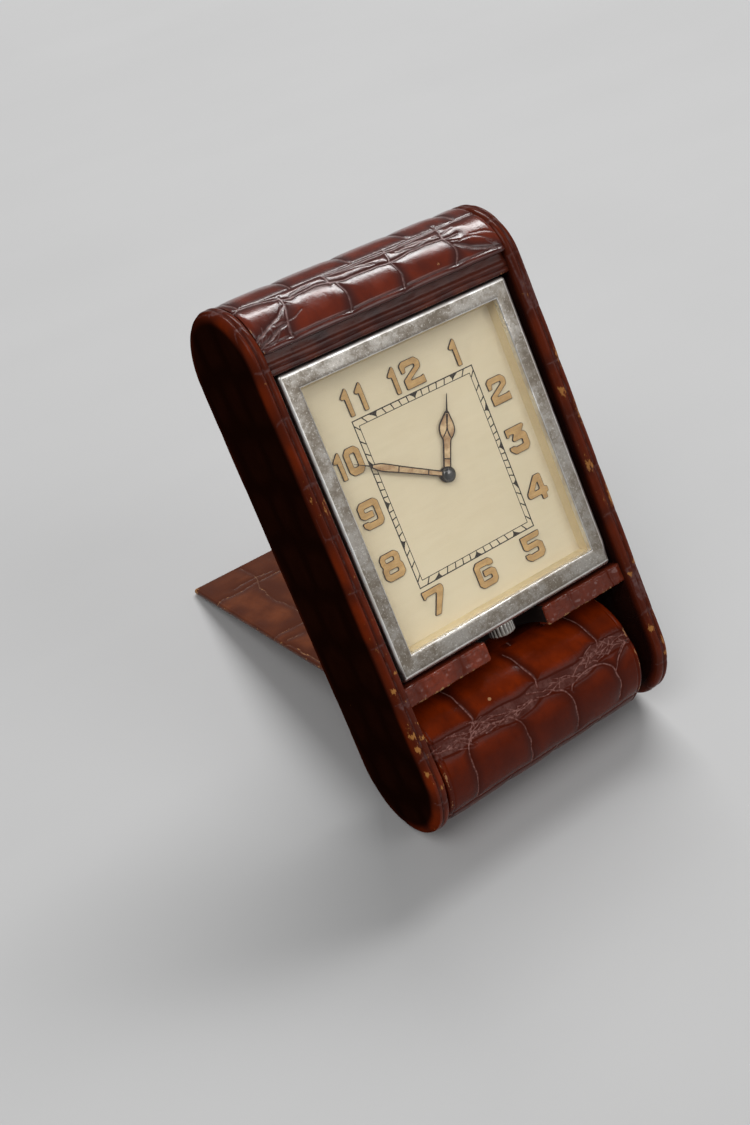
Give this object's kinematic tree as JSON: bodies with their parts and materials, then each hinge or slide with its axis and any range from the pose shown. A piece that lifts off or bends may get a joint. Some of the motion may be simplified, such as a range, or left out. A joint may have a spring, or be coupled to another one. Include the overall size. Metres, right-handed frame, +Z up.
{
  "type": "folding travel clock",
  "caption": "Folding leather travel clock standing on its swung-back cover, with a rectangular metal bezel, hands, crown and hand-wound movement.",
  "frame": {"origin": "centre of the bounding box's footprint on the table, with the clock standing", "axes": "+Z up, dial faces -Y and leans back, +X to the viewer's right"},
  "size_m": [0.07, 0.1102, 0.1074],
  "materials": {
    "left_cheek_leather": "glossy reddish-brown crocodile-grain leather",
    "right_cheek_leather": "glossy reddish-brown crocodile-grain leather",
    "left_cheek_lining": "smooth brown leather",
    "right_cheek_lining": "smooth brown leather",
    "cheek_boards": "plain wood board",
    "cap_leather": "glossy reddish-brown crocodile-grain leather",
    "cap_inner_strip": "glossy reddish-brown crocodile-grain leather",
    "cap_block": "plain wood board",
    "back_board": "plain wood board",
    "shelf_block": "plain wood board",
    "shelf_leather": "glossy reddish-brown crocodile-grain leather",
    "packing_frame": "plain wood board",
    "hinge_pins": "plain steel",
    "hinge_collar": "plain brass",
    "bezel": "worn nickel-plated brass",
    "crystal": "clear flat glass",
    "rehaut": "olive-cream paint",
    "dial": "aged cream dial paint",
    "clock_can": "plain brass",
    "can_back": "plain brass",
    "crown_tube": "plain brass",
    "mainplate": "plain brass",
    "plate_pillars": "plain brass",
    "barrel_bridge": "plain brass",
    "train_bridge": "plain brass",
    "balance_cock": "plain brass",
    "pallet_cock": "plain brass",
    "click_spring": "plain steel",
    "hairspring": "plain steel",
    "flap_board": "plain wood board",
    "roll_core": "plain wood board",
    "roll_leather": "glossy reddish-brown crocodile-grain leather",
    "flap_leather": "glossy reddish-brown crocodile-grain leather",
    "flap_lining": "smooth lining",
    "hinge_bushes": "plain brass",
    "cannon_pinion": "plain brass",
    "minute_hand": "dark bronzed metal with tan inlay",
    "hand_cap": "black domed cap",
    "hour_wheel": "plain brass",
    "hour_hand": "dark bronzed metal with tan inlay",
    "minute_wheel": "plain brass",
    "centre_wheel": "plain brass",
    "intermediate_wheel": "plain brass",
    "barrel": "plain brass",
    "barrel_lid": "plain brass",
    "mainspring": "plain steel",
    "barrel_arbor": "plain steel",
    "ratchet_wheel": "plain steel",
    "crown_wheel": "plain steel",
    "third_wheel": "plain brass",
    "fourth_wheel": "plain brass",
    "escape_wheel": "plain brass",
    "pallet_fork": "plain steel",
    "balance_wheel": "plain brass",
    "click": "plain steel",
    "stem_yoke": "plain steel",
    "crown": "worn nickel-plated brass",
    "stem": "plain steel",
    "winding_pinion": "plain steel"
  },
  "bodies": {
    "case": {"left_cheek_leather": "left_cheek_leather", "right_cheek_leather": "right_cheek_leather", "left_cheek_lining": "left_cheek_lining", "right_cheek_lining": "right_cheek_lining", "cheek_boards": "cheek_boards", "cap_leather": "cap_leather", "cap_inner_strip": "cap_inner_strip", "cap_block": "cap_block", "back_board": "back_board", "shelf_block": "shelf_block", "shelf_leather": "shelf_leather", "packing_frame": "packing_frame", "hinge_pins": "hinge_pins", "hinge_collar": "hinge_collar", "bezel": "bezel", "crystal": "crystal", "rehaut": "rehaut", "dial": "dial", "clock_can": "clock_can", "can_back": "can_back", "crown_tube": "crown_tube", "mainplate": "mainplate", "plate_pillars": "plate_pillars", "barrel_bridge": "barrel_bridge", "train_bridge": "train_bridge", "balance_cock": "balance_cock", "pallet_cock": "pallet_cock", "click_spring": "click_spring", "hairspring": "hairspring"},
    "cover": {"flap_board": "flap_board", "roll_core": "roll_core", "roll_leather": "roll_leather", "flap_leather": "flap_leather", "flap_lining": "flap_lining", "hinge_bushes": "hinge_bushes"},
    "minute_hand_body": {"cannon_pinion": "cannon_pinion", "minute_hand": "minute_hand", "hand_cap": "hand_cap"},
    "hour_hand_body": {"hour_wheel": "hour_wheel", "hour_hand": "hour_hand"},
    "minute_wheel_body": {"minute_wheel": "minute_wheel"},
    "centre_body": {"centre_wheel": "centre_wheel"},
    "intermediate_body": {"intermediate_wheel": "intermediate_wheel"},
    "barrel_body": {"barrel": "barrel", "barrel_lid": "barrel_lid", "mainspring": "mainspring"},
    "winding_arbor": {"barrel_arbor": "barrel_arbor", "ratchet_wheel": "ratchet_wheel"},
    "crown_wheel_body": {"crown_wheel": "crown_wheel"},
    "third_body": {"third_wheel": "third_wheel"},
    "fourth_body": {"fourth_wheel": "fourth_wheel"},
    "escape_body": {"escape_wheel": "escape_wheel"},
    "pallet_body": {"pallet_fork": "pallet_fork"},
    "balance_body": {"balance_wheel": "balance_wheel"},
    "click_body": {"click": "click"},
    "stem_slide_body": {"stem_yoke": "stem_yoke"},
    "crown_body": {"crown": "crown", "stem": "stem", "winding_pinion": "winding_pinion"}
  },
  "joints": [
    {"name": "cover_hinge", "type": "hinge", "parent": "case", "child": "cover", "pos_m": [0, -0.03978, 0.0153], "axis": [1, 0, 0], "range_deg": [-286.7, 0]},
    {"name": "minute_hand_turn", "type": "hinge", "parent": "case", "child": "minute_hand_body", "pos_m": [0, -0.01607, 0.06682], "axis": [0, -0.8306, 0.5569], "continuous": true},
    {"name": "hour_hand_turn", "type": "hinge", "parent": "case", "child": "hour_hand_body", "pos_m": [0, -0.01607, 0.06682], "axis": [0, -0.8306, 0.5569], "continuous": true},
    {"name": "minute_wheel_turn", "type": "hinge", "parent": "case", "child": "minute_wheel_body", "pos_m": [-0.00451, -0.01532, 0.06435], "axis": [0, -0.8306, 0.5569], "continuous": true},
    {"name": "escape_turn", "type": "hinge", "parent": "case", "child": "escape_body", "pos_m": [0.01045, -0.01225, 0.06174], "axis": [0, -0.8306, 0.5569], "continuous": true},
    {"name": "fourth_turn", "type": "hinge", "parent": "case", "child": "fourth_body", "pos_m": [0.00781, -0.00887, 0.06498], "axis": [0, -0.8306, 0.5569], "continuous": true},
    {"name": "third_turn", "type": "hinge", "parent": "case", "child": "third_body", "pos_m": [0.00351, -0.00603, 0.06742], "axis": [0, -0.8306, 0.5569], "continuous": true},
    {"name": "centre_turn", "type": "hinge", "parent": "case", "child": "centre_body", "pos_m": [0, -0.00859, 0.06181], "axis": [0, -0.8306, 0.5569], "continuous": true},
    {"name": "intermediate_turn", "type": "hinge", "parent": "case", "child": "intermediate_body", "pos_m": [-0.00696, -0.00678, 0.06451], "axis": [0, -0.8306, 0.5569], "continuous": true},
    {"name": "barrel_turn", "type": "hinge", "parent": "case", "child": "barrel_body", "pos_m": [-0.0084, -0.01254, 0.05772], "axis": [0, -0.8306, 0.5569], "continuous": true},
    {"name": "crown_pull", "type": "slide", "parent": "case", "child": "stem_slide_body", "axis": [0, -0.5569, -0.8306], "range_m": [0, 0.001]},
    {"name": "crown_turn", "type": "hinge", "parent": "stem_slide_body", "child": "crown_body", "pos_m": [0, -0.03435, 0.03453], "axis": [0, 0.5569, 0.8306], "continuous": true},
    {"name": "crown_wheel_turn", "type": "hinge", "parent": "case", "child": "crown_wheel_body", "pos_m": [0, -0.01762, 0.05553], "axis": [0, -0.8306, 0.5569], "continuous": true},
    {"name": "winding_arbor_turn", "type": "hinge", "parent": "case", "child": "winding_arbor", "pos_m": [-0.0084, -0.01503, 0.05939], "axis": [0, -0.8306, 0.5569], "continuous": true},
    {"name": "pallet_rock", "type": "hinge", "parent": "case", "child": "pallet_body", "pos_m": [0.00944, -0.01493, 0.059], "axis": [0, -0.8306, 0.5569], "range_deg": [-5, 5]},
    {"name": "balance_swing", "type": "hinge", "parent": "case", "child": "balance_body", "pos_m": [0.00833, -0.01442, 0.05366], "axis": [0, -0.8306, 0.5569], "range_deg": [-220, 220]},
    {"name": "click_lift", "type": "hinge", "parent": "case", "child": "click_body", "pos_m": [-0.0111, -0.01933, 0.05333], "axis": [0, -0.8306, 0.5569], "range_deg": [0, 5]}
  ],
  "couplings": [
    {"joint": "hour_hand_turn", "follows": "minute_hand_turn", "ratio": 0.083333},
    {"joint": "minute_wheel_turn", "follows": "minute_hand_turn", "ratio": -0.33333},
    {"joint": "fourth_turn", "follows": "escape_turn", "ratio": -0.1},
    {"joint": "third_turn", "follows": "escape_turn", "ratio": 0.013333},
    {"joint": "centre_turn", "follows": "escape_turn", "ratio": -0.0016667},
    {"joint": "intermediate_turn", "follows": "escape_turn", "ratio": 0.00033333},
    {"joint": "barrel_turn", "follows": "escape_turn", "ratio": -0.000055556},
    {"joint": "crown_wheel_turn", "follows": "crown_turn", "ratio": -0.5},
    {"joint": "winding_arbor_turn", "follows": "crown_turn", "ratio": 0.33333}
  ]
}
